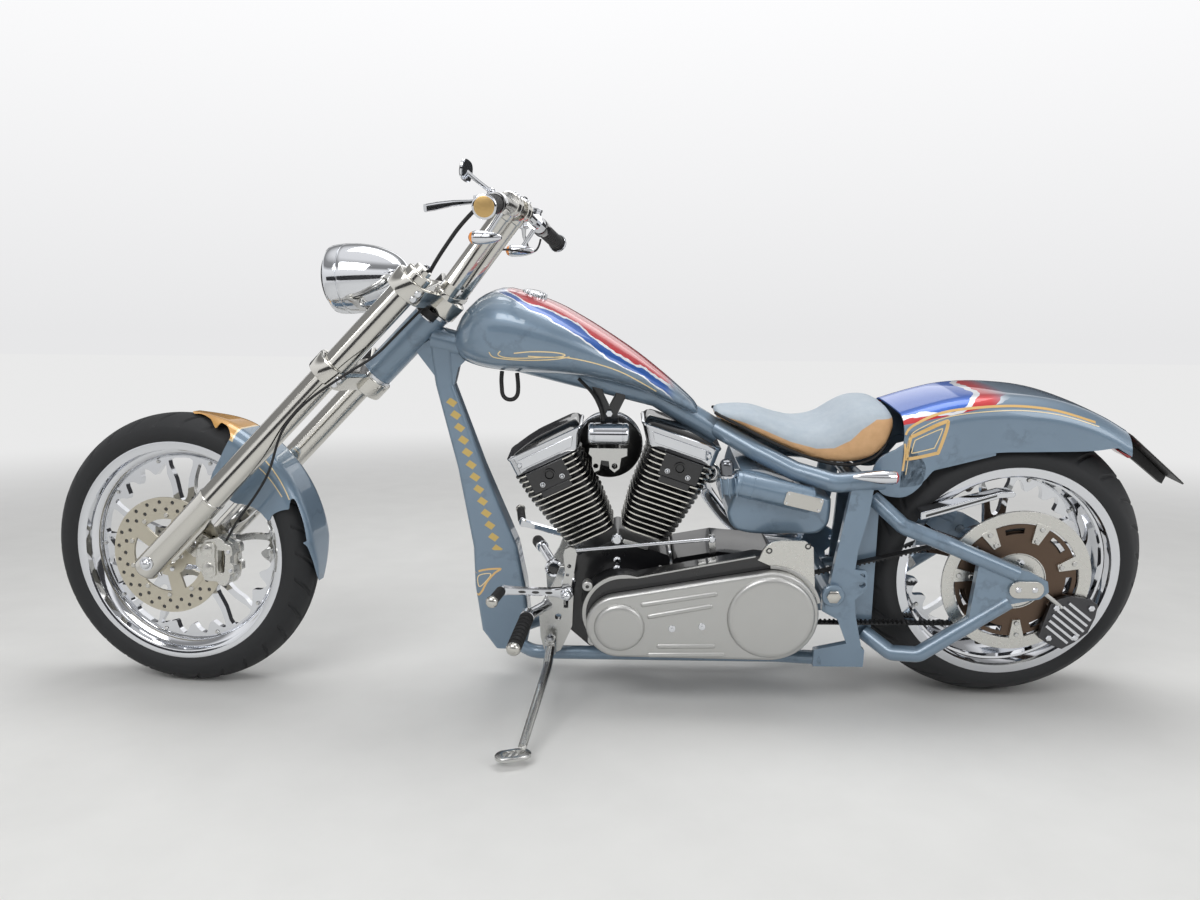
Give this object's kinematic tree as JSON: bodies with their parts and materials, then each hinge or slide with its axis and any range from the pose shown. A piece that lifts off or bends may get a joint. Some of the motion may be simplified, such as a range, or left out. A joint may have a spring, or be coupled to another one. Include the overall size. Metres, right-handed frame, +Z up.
{
  "type": "chopper motorcycle",
  "caption": "Long raked chopper with a solo saddle, a V-twin engine and a wide rear tyre, leaning on its side stand; wheels, steering and stand move.",
  "frame": {"origin": "on the floor under the middle of the standing, leaning machine", "axes": "+X to the rear, -Y to the machine's left, to which it leans, +Z up"},
  "size_m": [2.8049, 0.8861, 1.2787],
  "materials": {
    "steel blue paint": "gloss lacquer with gold pinstripes",
    "polished chrome": "polished",
    "machined aluminium": "brushed",
    "brake steel": "ground",
    "black rubber": "matt",
    "tyre": "matt",
    "black engine enamel": "satin",
    "lamp glass": "clear",
    "seat leather": "soft matt",
    "black plastic": "matt"
  },
  "bodies": {
    "frame": {"air_cleaner": "polished chrome", "belt_guard": "polished chrome", "crankcase": "black engine enamel", "drive_belt": "black rubber", "engine_hose": "black rubber", "exhaust": "polished chrome", "frame": "steel blue paint", "front_cylinder": "black engine enamel", "front_rocker_box": "polished chrome", "fuel_cap": "polished chrome", "fuel_hose": "black rubber", "fuel_tank": "steel blue paint", "intake_cover": "polished chrome", "left_foot_controls": "polished chrome", "oil_tank": "steel blue paint", "plate_carrier": "black plastic", "primary_cover": "machined aluminium", "primary_housing": "black engine enamel", "rear_axle": "brake steel", "rear_caliper": "machined aluminium", "rear_cylinder": "black engine enamel", "rear_fender": "steel blue paint", "rear_rocker_box": "polished chrome", "rear_signals": "polished chrome", "right_foot_controls": "polished chrome", "seat": "seat leather", "swingarm": "steel blue paint", "transmission": "black engine enamel"},
    "steering": {"fork_legs": "polished chrome", "lower_triple_clamp": "polished chrome", "upper_triple_clamp": "polished chrome", "headlamp_shell": "polished chrome", "headlamp_lens": "lamp glass", "risers": "polished chrome", "handlebar": "polished chrome", "grips": "black rubber", "hand_levers": "polished chrome", "mirrors": "polished chrome", "front_signals": "polished chrome", "front_fender": "steel blue paint", "front_caliper": "machined aluminium", "front_axle": "brake steel", "clutch_cable": "black rubber", "throttle_cable": "black rubber", "brake_hose": "black rubber"},
    "front_wheel": {"front_tyre": "tyre", "front_wheel": "polished chrome", "front_disc": "brake steel"},
    "rear_wheel": {"rear_tyre": "tyre", "rear_wheel": "polished chrome", "rear_pulley": "brake steel", "rear_brake_ring": "brake steel"},
    "side_stand": {"side_stand": "polished chrome"}
  },
  "joints": [
    {"name": "steering_head", "type": "hinge", "parent": "frame", "child": "steering", "pos_m": [-1.02319, 0.08543, 0.31645], "axis": [0.7009, -0.0973, 0.7066], "range_deg": [-19.2, 40.8]},
    {"name": "front_wheel_spin", "type": "hinge", "parent": "steering", "child": "front_wheel", "pos_m": [-1.05542, 0.08965, 0.349], "axis": [0.1336, 0.991, 0.0039], "continuous": true},
    {"name": "rear_wheel_spin", "type": "hinge", "parent": "frame", "child": "rear_wheel", "pos_m": [0.991, 0.08025, 0.35404], "axis": [0, 0.9907, 0.1364], "continuous": true},
    {"name": "side_stand_fold", "type": "hinge", "parent": "frame", "child": "side_stand", "pos_m": [-0.113, -0.04006, 0.12814], "axis": [0, -0.428, 0.9038], "range_deg": [0, 78]}
  ]
}
